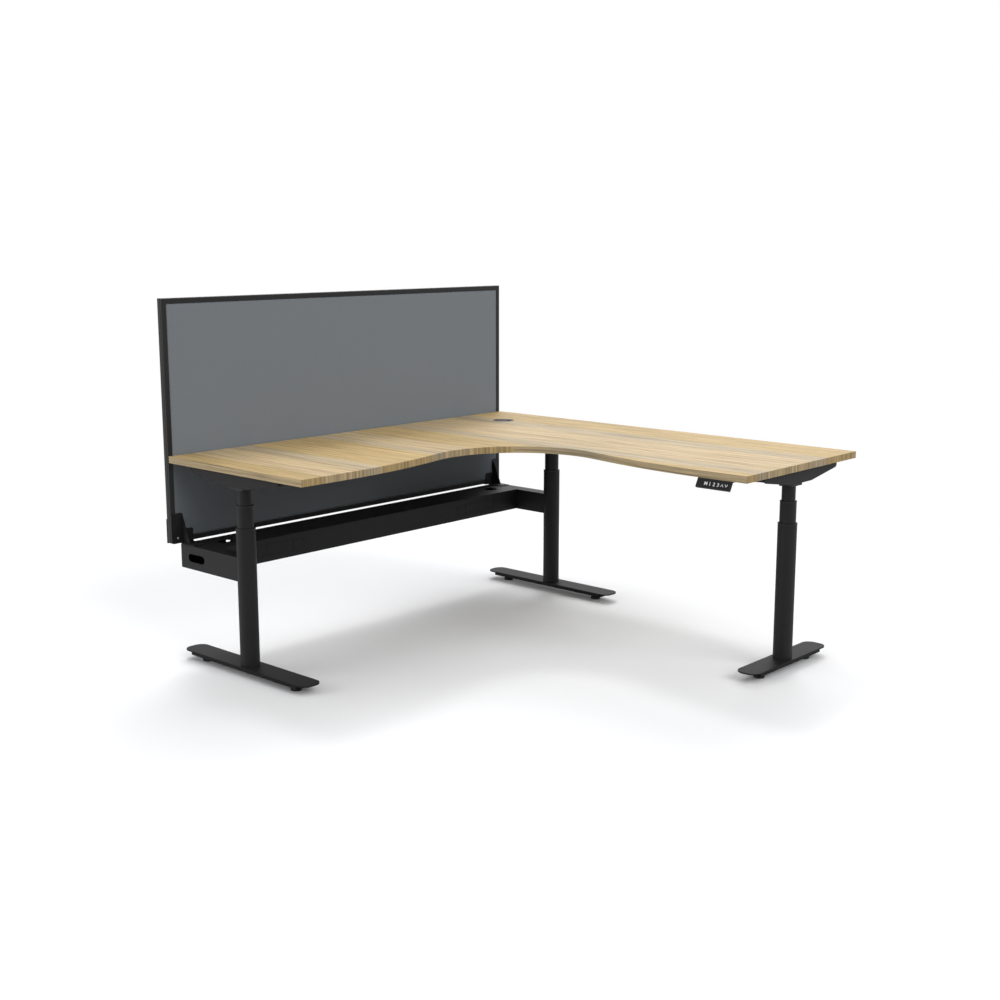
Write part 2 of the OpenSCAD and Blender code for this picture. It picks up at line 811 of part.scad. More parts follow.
module screen_sheet(y0, t) {
    from_corner() translate([screen_x + frame_face, screen_gap + y0, screen_z + frame_face])
        cube([screen_w - 2 * frame_face, t, screen_h - 2 * frame_face]);
}

module screen_board() {
    color([0.6, 0.55, 0.45])
        screen_sheet(fabric_in + fabric_t, screen_t - 2 * fabric_in - 2 * fabric_t);
}

module screen_fabric_front() {
    color([0.44, 0.46, 0.48]) screen_sheet(fabric_in, fabric_t);
}

module screen_fabric_back() {
    color([0.44, 0.46, 0.48]) screen_sheet(screen_t - fabric_in - fabric_t, fabric_t);
}

// Screen bracket: folded steel with two tabs on the front of the frame, a gusset, a foot on
// the spine's arm, and a tongue under the screen that turns up behind it
module tab(w, h) {
    rotate([90, 0, 0]) translate([0, 0, -plate_t]) linear_extrude(plate_t) {
        square([w - tab_r, h]);
        square([w, h - tab_r]);
        translate([w - tab_r, h - tab_r]) circle(tab_r);
    }
}

module bracket() {
    front_y = screen_gap - plate_t;
    rear_y = screen_gap + screen_t;
    translate([0, 0, spine_top_h]) {
        translate([tall_tab_in, front_y, 0]) tab(tall_tab_w, tall_tab_h);
        translate([short_tab_in, front_y, 0]) tab(short_tab_w, short_tab_h);
        translate([tall_tab_in, front_y, 0])
            cube([short_tab_in + short_tab_w - tall_tab_in, rear_y + plate_t - front_y, plate_t]);
        translate([gusset_in + plate_t, front_y + plate_t, 0]) rotate([90, 0, -90])
            linear_extrude(plate_t) polygon([
                [0, 0], [0, gusset_h], [gusset_top + plate_t, gusset_h],
                [gusset_out + plate_t, plate_t], [gusset_out + plate_t, 0]
            ]);
        translate([bracket_foot_in, front_y - bracket_foot_l, 0])
            cube([bracket_foot_w, bracket_foot_l + plate_t, plate_t]);
        translate([0, rear_y, 0]) cube([tall_tab_in + tall_tab_w, plate_t, rear_plate_h]);
    }
}

module screen_bracket_left() {
    color([0.09, 0.09, 0.09]) from_corner() translate([screen_x, 0, 0]) bracket();
}

module screen_bracket_right() {
    color([0.09, 0.09, 0.09])
        from_corner() translate([screen_x + screen_w, 0, 0]) mirror([1, 0, 0]) bracket();
}

worktop();
grommet_liner();
grommet_cap();
foot(0);  // foot_left
foot(1);  // foot_back
foot(2);  // foot_return
glide(0, -1);  // glide_left_front
glide(0, 1);  // glide_left_rear
glide(1, -1);  // glide_back_front
glide(1, 1);  // glide_back_rear
glide(2, -1);  // glide_return_inner
glide(2, 1);  // glide_return_outer
outer_tube(0);  // outer_tube_left
outer_tube(1);  // outer_tube_back
outer_tube(2);  // outer_tube_return
lower_guide_rings();
nut_tubes();
mid_tube(0);  // mid_tube_left
mid_tube(1);  // mid_tube_back
mid_tube(2);  // mid_tube_return
upper_guide_ring(0);  // upper_guide_ring_left
upper_guide_ring(1);  // upper_guide_ring_back
upper_guide_ring(2);  // upper_guide_ring_return
nut_carrier(0);  // nut_carrier_left
nut_carrier(1);  // nut_carrier_back
nut_carrier(2);  // nut_carrier_return
hollow_spindle(0);  // hollow_spindle_left
hollow_spindle(1);  // hollow_spindle_back
hollow_spindle(2);  // hollow_spindle_return
inner_tube(0);  // inner_tube_left
inner_tube(1);  // inner_tube_back
inner_tube(2);  // inner_tube_return
spindle(0);  // spindle_left
spindle(1);  // spindle_back
spindle(2);  // spindle_return
drive_unit(0);  // drive_unit_left
drive_unit(1);  // drive_unit_back
drive_unit(2);  // drive_unit_return
support_arm(0);  // support_arm_left
support_arm(1);  // support_arm_back
support_arm(2);  // support_arm_return
cross_rails();
control_box();
handset_body();
key(0);  // key_memory
key(1);  // key_one
key(2);  // key_two
key(3);  // key_three
key(4);  // key_up
key(5);  // key_down
spine_beam();
spine_cover();
spine_arm(0);  // spine_arm_left
spine_arm(1);  // spine_arm_right
screen_frame();
screen_board();
screen_fabric_front();
screen_fabric_back();
screen_bracket_left();
screen_bracket_right();
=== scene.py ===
import math

import bpy
from mathutils import Matrix, Vector


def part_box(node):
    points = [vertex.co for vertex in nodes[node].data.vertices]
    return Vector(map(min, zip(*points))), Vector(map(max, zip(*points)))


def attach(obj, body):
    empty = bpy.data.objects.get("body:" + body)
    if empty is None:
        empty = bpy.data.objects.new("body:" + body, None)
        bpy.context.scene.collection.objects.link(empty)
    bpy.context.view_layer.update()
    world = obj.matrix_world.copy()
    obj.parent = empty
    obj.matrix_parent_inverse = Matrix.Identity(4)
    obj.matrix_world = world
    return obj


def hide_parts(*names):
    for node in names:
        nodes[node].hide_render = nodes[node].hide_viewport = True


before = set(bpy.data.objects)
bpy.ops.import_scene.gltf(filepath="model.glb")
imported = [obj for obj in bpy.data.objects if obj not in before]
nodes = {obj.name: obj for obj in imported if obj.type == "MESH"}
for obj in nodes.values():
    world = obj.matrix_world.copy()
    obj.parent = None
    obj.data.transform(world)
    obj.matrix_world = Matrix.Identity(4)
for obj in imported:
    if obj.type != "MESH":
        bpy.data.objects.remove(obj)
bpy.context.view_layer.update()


# The three feet: steel plates 5 mm thick over a folded channel, bolted under each column. Like all
# the steelwork they are blasted, sprayed with a fine matt black powder and baked, which leaves a
# faint grain and small changes of gloss. Shoes have dulled the coat of the feet.


class Signal:
    """What leaves one socket of a node, for use in sums."""

    def __init__(self, recipe, socket):
        self.recipe = recipe
        self.socket = socket

    def counted(self, operation, first, second):
        return self.recipe.add("ShaderNodeMath", {"operation": operation}, {0: first, 1: second})

    def __add__(self, other):
        return self.counted("ADD", self, other)

    def __radd__(self, other):
        return self.counted("ADD", other, self)

    def __sub__(self, other):
        return self.counted("SUBTRACT", self, other)

    def __rsub__(self, other):
        return self.counted("SUBTRACT", other, self)

    def __mul__(self, other):
        return self.counted("MULTIPLY", self, other)

    def __rmul__(self, other):
        return self.counted("MULTIPLY", other, self)

    def __truediv__(self, other):
        return self.counted("DIVIDE", self, other)

    def __rtruediv__(self, other):
        return self.counted("DIVIDE", other, self)

    def __mod__(self, other):
        return self.counted("FLOORED_MODULO", self, other)

    def __rmod__(self, other):
        return self.counted("FLOORED_MODULO", other, self)

    def __gt__(self, other):
        return self.counted("GREATER_THAN", self, other)

    def __lt__(self, other):
        return self.counted("LESS_THAN", self, other)

    def __abs__(self):
        return self.counted("ABSOLUTE", self, 0.0)

    def __getitem__(self, name):
        return Signal(self.recipe, self.socket.node.outputs[name])


class Recipe:
    """A node tree built line by line, for a finish or for the rule that shapes a piece."""

    def __init__(self, tree):
        self.tree = tree
        tree.nodes.clear()

    def add(self, kind, settings=None, values=None, output=0):
        """One node with its settings, then the values or links of its sockets."""
        made = self.tree.nodes.new(kind)
        for name, setting in (settings or {}).items():
            if name == "stops":
                ramp = made.color_ramp
                while len(ramp.elements) < len(setting):
                    ramp.elements.new(0.5)
                for element, (place, colour) in zip(ramp.elements, setting):
                    element.position = place
                    element.color = (*colour, 1)
            else:
                setattr(made, name, setting)
        for key, value in (values or {}).items():
            if isinstance(value, Signal):
                self.tree.links.new(value.socket, made.inputs[key])
            else:
                made.inputs[key].default_value = value
        return Signal(self, made.outputs[output]) if made.outputs else None

    def mixed(self, share, first, second):
        """The first colour where share is 0 and the second where it is 1."""
        ends = {6: first, 7: second}
        ends = {k: v if isinstance(v, Signal) else (*v, 1) for k, v in ends.items()}
        return self.add("ShaderNodeMix", {"data_type": "RGBA"}, {0: share, **ends}, output=2)

    def spots(self, where, size, detail=2.0, seed=0.0, stretch=(1, 1, 1)):
        """Cloudy values round 0.5 whose patches are about size metres across."""
        scaled = self.add("ShaderNodeVectorMath", {"operation": "MULTIPLY"},
                          {0: where, 1: [s / size for s in stretch]})
        return self.add("ShaderNodeTexNoise", {"noise_dimensions": "4D"},
                        {"Vector": scaled, "W": seed, "Scale": 1.0, "Detail": detail})


def new_finish(name):
    """An empty finish, with the place on the piece that its patterns read."""
    finish = bpy.data.materials.new(name)
    finish.use_nodes = True
    recipe = Recipe(finish.node_tree)
    return finish, recipe, recipe.add("ShaderNodeTexCoord", output=3)


def surface(recipe, height=None, depth=0.0001, strength=1.0, **values):
    """Ends a finish in its shader, with a bump whose full height is depth metres."""
    values = {name.replace("_", " "): value for name, value in values.items()}
    if height is not None:
        values["Normal"] = recipe.add("ShaderNodeBump", None,
                                      {"Height": height, "Distance": depth, "Strength": strength})
    shader = recipe.add("ShaderNodeBsdfPrincipled", None, values)
    recipe.add("ShaderNodeOutputMaterial", None, {"Surface": shader})


def put_on(finish, *names):
    """Gives parts of the frame their finish."""
    for name in names:
        for place in nodes[name].material_slots:
            place.material = finish


powder_black = (0.0106, 0.0106, 0.0111)
powder_worn = (0.015, 0.015, 0.0157)
powder_grain = 0.0011
powder_cloud = 0.16
powder_gloss = 0.17
dulled_gloss = 0.08
leg_names = ("left", "back", "return")


def on_each_leg(*starts):
    """The names of the parts that each leg has one of."""
    return [start + leg for start in starts for leg in leg_names]


def powder_coat(name, gloss):
    """The black powder, with more or less gloss in its skin."""
    finish, mix, where = new_finish(name)
    grain = mix.spots(where, powder_grain, detail=3.0, seed=1.0)
    cloud = mix.spots(where, powder_cloud, detail=2.0, seed=2.0)
    surface(mix, height=grain, depth=0.00012, strength=0.35,
            Base_Color=mix.mixed(cloud, powder_black, powder_worn),
            Roughness=0.46 + 0.1 * grain + 0.06 * cloud,
            Specular_IOR_Level=gloss)
    return finish


powder = powder_coat("powder_coat", powder_gloss)
put_on(powder_coat("powder_coat_dulled", dulled_gloss), *on_each_leg("foot_"))


# The screws and bolts: button heads with a hexagon socket, zinc-plated and blackened, driven in
# with a key. Every set of them is one rule, a turned head repeated at each place it is given.
screw_black = (0.02, 0.02, 0.021)
screw_bright = (0.33, 0.33, 0.34)
scratch_size = 0.0007
head_sides = 24
head_steps = 4
head_drop = 0.65
socket_share = 0.45
socket_floor_share = 0.4


def screw_finish(name, colour, roughness):
    """Plated steel with fine scratches, lighter and darker than its colour."""
    finish, mix, where = new_finish(name)
    scratch = mix.spots(where, scratch_size, detail=2.0, seed=3.0)
    surface(mix, height=scratch, depth=0.00003, strength=0.4,
            Base_Color=mix.mixed(scratch, [c * 0.7 for c in colour], [c * 1.3 for c in colour]),
            Roughness=roughness + 0.15 * scratch, Metallic=1.0)
    return finish


blackened = screw_finish("blackened_screw", screw_black, 0.35)
bright_zinc = screw_finish("bright_screw", screw_bright, 0.25)

heads = bpy.data.node_groups.new("screw_heads", "GeometryNodeTree")
heads.interface.new_socket("Places", in_out="INPUT", socket_type="NodeSocketGeometry")
for label in ("Radius", "Height"):
    heads.interface.new_socket(label, in_out="INPUT", socket_type="NodeSocketFloat")
heads.interface.new_socket("Finish", in_out="INPUT", socket_type="NodeSocketMaterial")
heads.interface.new_socket("Heads", in_out="OUTPUT", socket_type="NodeSocketGeometry")
rule = Recipe(heads)
given = rule.add("NodeGroupInput")
radius, height = given["Radius"], given["Height"]
blank = rule.add("GeometryNodeMeshCylinder", None, {
    "Vertices": head_sides, "Side Segments": head_steps, "Radius": radius, "Depth": height})
place = rule.add("ShaderNodeSeparateXYZ", None, {0: rule.add("GeometryNodeInputPosition")})
rise = place["Z"] / height + 0.5
taper = rule.add("ShaderNodeMath", {"operation": "SQRT"}, {0: 1 - head_drop * rise * rise})
domed = rule.add("GeometryNodeSetPosition", None, {
    "Geometry": blank,
    "Position": rule.add("ShaderNodeCombineXYZ", None,
                         {0: place["X"] * taper, 1: place["Y"] * taper, 2: rise * height})})
key_hole = rule.add("GeometryNodeMeshCylinder", None, {
    "Vertices": 6, "Radius": radius * socket_share, "Depth": 2 * height})
key_hole = rule.add("GeometryNodeTransform", None, {
    "Geometry": key_hole,
    "Translation": rule.add("ShaderNodeCombineXYZ", None,
                            {0: 0.0, 1: 0.0, 2: height * (1 + socket_floor_share)})})
head = rule.add("GeometryNodeMeshBoolean", {"operation": "DIFFERENCE"},
                {"Mesh 1": domed, "Mesh 2": key_hole})
facing = rule.add("GeometryNodeInputNamedAttribute", {"data_type": "FLOAT_VECTOR"},
                  {"Name": "facing"})
turned = rule.add("FunctionNodeAlignRotationToVector", {"axis": "Z"}, {"Vector": facing})
seated = rule.add("GeometryNodeInstanceOnPoints", None, {
    "Points": given["Places"], "Instance": head, "Rotation": turned})
real = rule.add("GeometryNodeRealizeInstances", None, {"Geometry": seated})
done = rule.add("GeometryNodeSetMaterial", None, {"Geometry": real, "Material": given["Finish"]})
rule.add("NodeGroupOutput", None, {"Heads": done})


def grown(name, tree, start, **choices):
    """The plain mesh object that a rule makes from a starting mesh and its choices."""
    holder = bpy.data.objects.new(name + "_rule", start)
    bpy.context.scene.collection.objects.link(holder)
    step = holder.modifiers.new(tree.name, "NODES")
    step.node_group = tree
    for item in tree.interface.items_tree:
        if item.in_out == "INPUT" and item.name in choices:
            step[item.identifier] = choices[item.name]
    bpy.context.view_layer.update()
    graph = bpy.context.evaluated_depsgraph_get()
    mesh = bpy.data.meshes.new_from_object(holder.evaluated_get(graph), depsgraph=graph)
    bpy.data.objects.remove(holder)
    mesh.name = name
    piece = bpy.data.objects.new(name, mesh)
    bpy.context.scene.collection.objects.link(piece)
    return piece


def screws(name, body, places, head, finish):
    """One set of screws on one body. Each place is a point and the way its head faces, and head
    is the radius and the height of a head."""
    radius, height = head
    start = bpy.data.meshes.new(name)
    start.from_pydata([p for p, _ in places], [], [])
    ways = start.attributes.new("facing", "FLOAT_VECTOR", "POINT")
    for k, (_, way) in enumerate(places):
        ways.data[k].vector = way
    piece = grown(name, heads, start, Radius=radius, Height=height, Finish=finish)
    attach(piece, body)


# The foot bolts: four under each foot, which go up through its channel into a plate welded inside
# the column, so that the desk can be packed flat.
foot_bolt_at = 0.018
foot_bolt_head = (0.005, 0.003)
channel_bottom = 0.021


def column_axis(leg):
    """The middle of a column, from the tube that stands on its foot."""
    low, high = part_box("outer_tube_" + leg)
    return (low + high) / 2


places = []
for leg in leg_names:
    axis = column_axis(leg)
    places += [((axis.x + a * foot_bolt_at, axis.y + b * foot_bolt_at, channel_bottom), (0, 0, -1))
               for a in (-1, 1) for b in (-1, 1)]
screws("foot_bolts", "base", places, foot_bolt_head, blackened)


# The levelling glides: black nylon discs moulded round a threaded steel stud with a hexagonal
# neck. They screw into the feet, and their undersides scuff on the floor.
nylon_black = (0.007, 0.007, 0.0075)
nylon_scuffed = (0.02, 0.02, 0.02)
nylon_speckle = 0.0008
scuff_size = 0.004
glide_plastic_top = 0.0122
scuff_height = 0.0025
stud_thread = 0.00075


def ridges(recipe, height, pitch):
    """Rises from 0 to 1 and falls back over each two pitches of height."""
    return recipe.add("ShaderNodeMath", {"operation": "PINGPONG"}, {0: height, 1: pitch}) / pitch


glides, mix, where = new_finish("glide_nylon")
height = mix.add("ShaderNodeSeparateXYZ", None, {0: where})["Z"]
speckle = mix.spots(where, nylon_speckle, detail=2.0, seed=4.0)
scuffed = (height < scuff_height) * mix.spots(where, scuff_size, detail=3.0, seed=5.0)
steel = height > glide_plastic_top
thread = 4 * ridges(mix, height, stud_thread)
surface(mix, height=speckle * (1 - steel) + thread * steel, depth=0.00008, strength=0.5,
        Base_Color=mix.mixed(scuffed, nylon_black, nylon_scuffed),
        Roughness=0.5 + 0.15 * speckle + 0.2 * scuffed,
        Metallic=0.8 * steel, Specular_IOR_Level=0.3)
put_on(glides, *[n for n in nodes if n.startswith("glide_")])


# The fixed outer tubes: seamless round steel, coated like the rest of the steelwork. They stand
# on the feet and carry the arms of the cable spine.
put_on(powder, *on_each_leg("outer_tube_"))


# The guide rings: turned acetal sleeves pressed into each tube's mouth. Their lips show as a dark
# line round the column, with the fine circles that the lathe leaves.
acetal_black = (0.006, 0.006, 0.0065)
acetal_sheen = (0.011, 0.011, 0.012)
acetal_mottle = 0.006
lathe_pitch = 0.0006

rings, mix, where = new_finish("guide_acetal")
height = mix.add("ShaderNodeSeparateXYZ", None, {0: where})["Z"]
turning = ridges(mix, height, lathe_pitch)
mottle = mix.spots(where, acetal_mottle, detail=2.0, seed=6.0)
surface(mix, height=turning + 0.5 * mottle, depth=0.00003, strength=0.6,
        Base_Color=mix.mixed(mottle, acetal_black, acetal_sheen),
        Roughness=0.38 + 0.12 * mottle, Specular_IOR_Level=0.3)
put_on(rings, "lower_guide_rings", *on_each_leg("upper_guide_ring_"))


# Inside the columns: nut tubes, nut carriers and two spindles each, of turned bright steel. The
# thread of 8 mm lead runs up the spindles, with a film of grease in it.
turned_steel = (0.42, 0.42, 0.43)
greased_steel = (0.24, 0.22, 0.18)
thread_pitch = 0.002
grease_patch = 0.02
drawn_line = 0.001
drawn_stretch = (1, 1, 0.02)

spindles, mix, where = new_finish("bright_spindle")
height = mix.add("ShaderNodeSeparateXYZ", None, {0: where})["Z"]
flank = ridges(mix, height, thread_pitch)
grease = mix.spots(where, grease_patch, detail=3.0, seed=7.0)
surface(mix, height=flank, depth=0.0006, strength=0.8,
        Base_Color=mix.mixed(grease, turned_steel, greased_steel),
        Roughness=0.22 + 0.3 * grease, Metallic=1.0)
put_on(spindles, *on_each_leg("spindle_", "hollow_spindle_"))

sleeves, mix, where = new_finish("bright_sleeve")
drawn = mix.spots(where, drawn_line, detail=3.0, seed=8.0, stretch=drawn_stretch)
surface(mix, height=drawn, depth=0.00004, strength=0.6,
        Base_Color=mix.mixed(drawn, greased_steel, turned_steel),
        Roughness=0.3 + 0.2 * drawn, Metallic=1.0)
put_on(sleeves, "nut_tubes", *on_each_leg("nut_carrier_"))


# The sliding tubes: middle and inner stages, the same powder on drawn tube. The guide rings polish
# them, which leaves faint lines along their length.
tube_polish = 0.0016
polish_stretch = (1, 1, 0.01)

sliding, mix, where = new_finish("powder_coat_sliding")
grain = mix.spots(where, powder_grain, detail=3.0, seed=1.0)
cloud = mix.spots(where, powder_cloud, detail=2.0, seed=2.0)
polish = mix.spots(where, tube_polish, detail=2.0, seed=9.0, stretch=polish_stretch)
surface(mix, height=grain, depth=0.0001, strength=0.25,
        Base_Color=mix.mixed(cloud, powder_black, powder_worn),
        Roughness=0.4 + 0.07 * grain + 0.08 * polish, Specular_IOR_Level=powder_gloss)
put_on(sliding, *on_each_leg("mid_tube_", "inner_tube_"))


# The drive units: a gearbox over each column with its motor lying along the arm, cast and coated
# black. Four screws go up through the gearbox into the support arm.
casing_black = (0.007, 0.007, 0.0074)
casing_grey = (0.012, 0.012, 0.0127)
casing_pebble = 0.0018
casing_cloud = 0.05
drive_low = {leg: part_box("drive_unit_" + leg)[0].z for leg in leg_names}
gear_screw_head = (0.0035, 0.002)
gear_screw_across = 0.0215
gear_screws_along = (-0.0225, 0.042)


def beside_column(leg, across, along):
    """A point by a column. along runs the way of the arm above it, and across is square to it."""
    axis = column_axis(leg)
    if leg == "return":
        return axis.x + along, axis.y - across
    return axis.x + across, axis.y + along


places = [((*beside_column(leg, s * gear_screw_across, along), drive_low[leg]), (0, 0, -1))
          for leg in leg_names for s in (-1, 1) for along in gear_screws_along]
screws("gearbox_screws", "desk", places, gear_screw_head, blackened)

casing, mix, where = new_finish("drive_casing")
pebble = mix.spots(where, casing_pebble, detail=3.0, seed=10.0)
cloud = mix.spots(where, casing_cloud, detail=2.0, seed=11.0)
surface(mix, height=pebble, depth=0.0002, strength=0.4,
        Base_Color=mix.mixed(cloud, casing_black, casing_grey),
        Roughness=0.5 + 0.15 * pebble, Specular_IOR_Level=0.3)
put_on(casing, *on_each_leg("drive_unit_"))


# The support arms and cross rails: folded trays and box tube of steel, welded and coated. Three
# screws through each arm hold it to the underside of the worktop.
arm_screw_head = (0.0047, 0.0025)
arm_sheet = 0.0025
arm_hole_near = 0.0205
arm_hole_far = 0.018
arm_lug = 0.01
worktop_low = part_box("worktop")[0].z
put_on(powder, *on_each_leg("support_arm_"), "cross_rails")

places = []
for leg in leg_names:
    low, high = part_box("support_arm_" + leg)
    axis = column_axis(leg)
    start, end = (low.x, high.x) if leg == "return" else (low.y, high.y)
    holes = (start + arm_lug, start + 2 * arm_lug + arm_hole_near, end - arm_hole_far)
    points = [(hole, axis.y) if leg == "return" else (axis.x, hole) for hole in holes]
    places += [((x, y, worktop_low - arm_sheet), (0, 0, -1)) for x, y in points]
screws("arm_screws", "desk", places, arm_screw_head, blackened)


# The worktop: particle board 25 mm thick with a light oak decor pressed on both faces and edge
# bands to match. The decor shows planks side by side, all running along the return wing.
straw = (0.49, 0.352, 0.162)
blond = (0.52, 0.395, 0.226)
ash = (0.44, 0.355, 0.23)
umber = (0.2, 0.145, 0.09)

# Where each plank starts and ends, as shares of the worktop's length along the screen
plank_edges = [(0.0, straw), (0.052, straw), (0.058, blond), (0.155, blond), (0.165, ash),
               (0.203, ash), (0.211, straw), (0.375, straw), (0.382, ash), (0.412, ash),
               (0.422, blond), (0.494, blond), (0.504, straw), (0.612, straw), (0.62, ash),
               (0.66, ash), (0.67, blond), (0.822, blond), (0.83, ash), (0.877, ash),
               (0.886, straw), (1.0, straw)]

# Each kind of streak in the grain: its width and its length, then the detail of its noise and
# the noise's seed. Below are the values between which each kind rises out of the noise.
fibre = (0.004, 0.25, 3.0, 14.0)
line = (0.007, 0.5, 2.0, 27.0)
band = (0.015, 0.6, 2.0, 33.0)
vein = (0.03, 1.3, 3.0, 13.0)
pore = (0.0028, 0.06, 2.0, 15.0)
ragged = (0.008, 0.25, 3.0, 28.0)
fibre_rise = (0.34, 0.66)
line_rise = (0.36, 0.64)
band_rise = (0.4, 0.6)
vein_rise = (0.0, 0.045)
pore_rise = (0.52, 0.68)

# How much each kind darkens the decor, from its brightest value
brightest = 1.355
fibre_shade, line_shade, band_shade, vein_shade, pore_shade = 0.28, 0.24, 0.17, 0.14, 0.17
# The ends of the board keep this share of their brightness: painted shade that makes them darker
# than the top and the long edges
end_painted_shade_tone = 0.9
long_edge_ash = 0.7

# How much umber the fibres, the lines and the veins bring to each side of the board
end_umber = (0.3, 0.14, 0.04)
long_umber = (0.0, 0.14, 0.3)
face_umber = (0.0, 0.08, 0.25)

# How far the planks' edges wander, from the broad sway and from the ragged streaks
sway_size = 0.5
plank_sway, plank_tear, grain_sway = 0.006, 0.055, 0.02

# On the ends the streaks run up the board's thickness, drawn out by this share
end_grain_share = 0.2

oak, mix, where = new_finish("oak_decor")
place = mix.add("ShaderNodeSeparateXYZ", None, {0: where})
facing = mix.add("ShaderNodeSeparateXYZ", None, {0: mix.add("ShaderNodeNewGeometry", output=1)})
upright = abs(facing["Z"]) < 0.5
sideways = abs(facing["X"]) > abs(facing["Y"])
long_edge = upright * sideways
end_edge = upright * (1 - sideways)

low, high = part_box("worktop")
sway = mix.spots(where, sway_size, detail=1.0, seed=12.0, stretch=(0.5, 1, 1)) - 0.5
across = place["X"] * (1 - long_edge) + place["Z"] * long_edge
along = place["Y"] * (1 - end_edge) + place["Z"] * end_edge * end_grain_share
across_swayed = across + grain_sway * sway * (1 - long_edge)


def streaks(width, length, detail, seed):
    """Values in streaks along the grain, about width across and length long."""
    spot = mix.add("ShaderNodeCombineXYZ", None,
                   {0: across_swayed / width, 1: along / length, 2: 0.0})
    return mix.add("ShaderNodeTexNoise", {"noise_dimensions": "4D"},
                   {"Vector": spot, "W": seed, "Scale": 1.0, "Detail": detail})


def rising(value, low, high):
    """0 below low and 1 above high, with a smooth rise between them."""
    return mix.add("ShaderNodeMapRange", {"interpolation_type": "SMOOTHSTEP"}, {
        "Value": value, "From Min": low, "From Max": high, "To Min": 0.0, "To Max": 1.0})


veins = 1 - rising(abs(streaks(*vein) - 0.5), *vein_rise)
lines = rising(streaks(*line), *line_rise)
fibres = rising(streaks(*fibre), *fibre_rise)
bands = rising(streaks(*band), *band_rise)
pores = rising(streaks(*pore), *pore_rise)
tears = streaks(*ragged) - 0.5
plank_x = (place["X"] - low.x + plank_sway * sway + plank_tear * tears) / (high.x - low.x)
tone = mix.add("ShaderNodeValToRGB", {"stops": plank_edges}, {0: plank_x})
shade = (brightest - fibre_shade * fibres - line_shade * lines - vein_shade * veins
         - pore_shade * pores - band_shade * (1 - upright) * (bands - 0.5))
# Painted shade: the ends of the board are darkened
shade = shade * (1 - (1 - end_painted_shade_tone) * end_edge)


def umber_share(fibre_part, line_part, vein_part):
    """The share of umber where the three kinds of streak bring these parts of it."""
    return fibre_part * fibres + line_part * lines + vein_part * veins


stain = (end_edge * umber_share(*end_umber) + long_edge * umber_share(*long_umber)
         + (1 - upright) * umber_share(*face_umber))
tone = mix.mixed(long_edge_ash * long_edge, tone, ash)
oak_colour = mix.add("ShaderNodeVectorMath", {"operation": "SCALE"},
                     {0: mix.mixed(stain, tone, umber), "Scale": shade})
surface(mix, height=1 - 0.6 * pores - 0.4 * fibres, depth=0.00012, strength=0.35,
        Base_Color=oak_colour, Roughness=0.5 + 0.12 * fibres + 0.1 * pores,
        Specular_IOR_Level=0.16)
put_on(oak, "worktop")


# The cable grommet: a flanged liner let into the board and a cap that turns in it, both moulded
# in charcoal plastic with a fine spark-eroded texture.
charcoal = (0.008, 0.009, 0.0112)
charcoal_light = (0.012, 0.0135, 0.0165)
spark_pit = 0.0006

grommet, mix, where = new_finish("grommet_plastic")
eroded = mix.spots(where, spark_pit, detail=3.0, seed=16.0)
surface(mix, height=eroded, depth=0.00006, strength=0.5,
        Base_Color=mix.mixed(eroded, charcoal, charcoal_light),
        Roughness=0.45 + 0.15 * eroded, Specular_IOR_Level=0.18)
put_on(grommet, "grommet_liner", "grommet_cap")


# The control box: a moulded housing for the drives' electronics, screwed up into the board by its
# two ears. Three sockets for the motors and an inlet for the mains open in its side.
housing_black = (0.006, 0.006, 0.0063)
housing_grey = (0.0095, 0.0095, 0.01)
housing_leather = 0.0012
housing_flow = 0.06

housing, mix, where = new_finish("moulded_housing")
leather = mix.spots(where, housing_leather, detail=3.0, seed=17.0)
flow = mix.spots(where, housing_flow, detail=1.0, seed=18.0)
surface(mix, height=leather, depth=0.0001, strength=0.4,
        Base_Color=mix.mixed(flow, housing_black, housing_grey),
        Roughness=0.42 + 0.14 * leather, Specular_IOR_Level=0.15)
put_on(housing, "control_box")

ear_screw_head = (0.0045, 0.0022)
ear_screw_in = 0.009
ear_thickness = 0.003
low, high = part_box("control_box")
middle = (low + high) / 2
places = [((x, middle.y, worktop_low - ear_thickness), (0, 0, -1))
          for x in (low.x + ear_screw_in, high.x - ear_screw_in)]
screws("control_box_screws", "desk", places, ear_screw_head, blackened)


# The handset: a moulded slab, of the same plastic as the control box, that leans back under the
# board's edge. Two screws go up through its flange into the board.
handset_screw_head = (0.0036, 0.002)
handset_thick = 0.011
key_face_tilt = math.radians(28)
handset_screw_in = 0.014
put_on(housing, "handset_body")

low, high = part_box("handset_body")
flange_low = high.z - handset_thick * math.sin(key_face_tilt)
places = [((high.x - handset_screw_in, y, flange_low), (0, 0, -1))
          for y in (low.y + handset_screw_in, high.y - handset_screw_in)]
screws("handset_screws", "desk", places, handset_screw_head, blackened)


# The handset's keys: silicone pads that rise through the housing, each printed in light grey with
# its memory, its number or its arrow.
silicone_black = (0.009, 0.009, 0.0095)
silicone_worn = (0.013, 0.013, 0.0137)
silicone_dust = 0.0005
ink_grey = (0.8, 0.81, 0.83)
ink_grain = 0.0004
ink_thick = 0.00006
letter_high = 0.013
letter_swell = 0.012

silicone, mix, where = new_finish("key_silicone")
dust = mix.spots(where, silicone_dust, detail=2.0, seed=19.0)
surface(mix, height=dust, depth=0.00003, strength=0.4,
        Base_Color=mix.mixed(dust, silicone_black, silicone_worn),
        Roughness=0.55 + 0.15 * dust, Specular_IOR_Level=0.15)

ink, mix, where = new_finish("key_ink")
film = mix.spots(where, ink_grain, detail=2.0, seed=20.0)
surface(mix, height=film, depth=0.00001, strength=0.3,
        Base_Color=mix.mixed(film, [c * 0.9 for c in ink_grey], ink_grey),
        Roughness=0.45 + 0.1 * film)

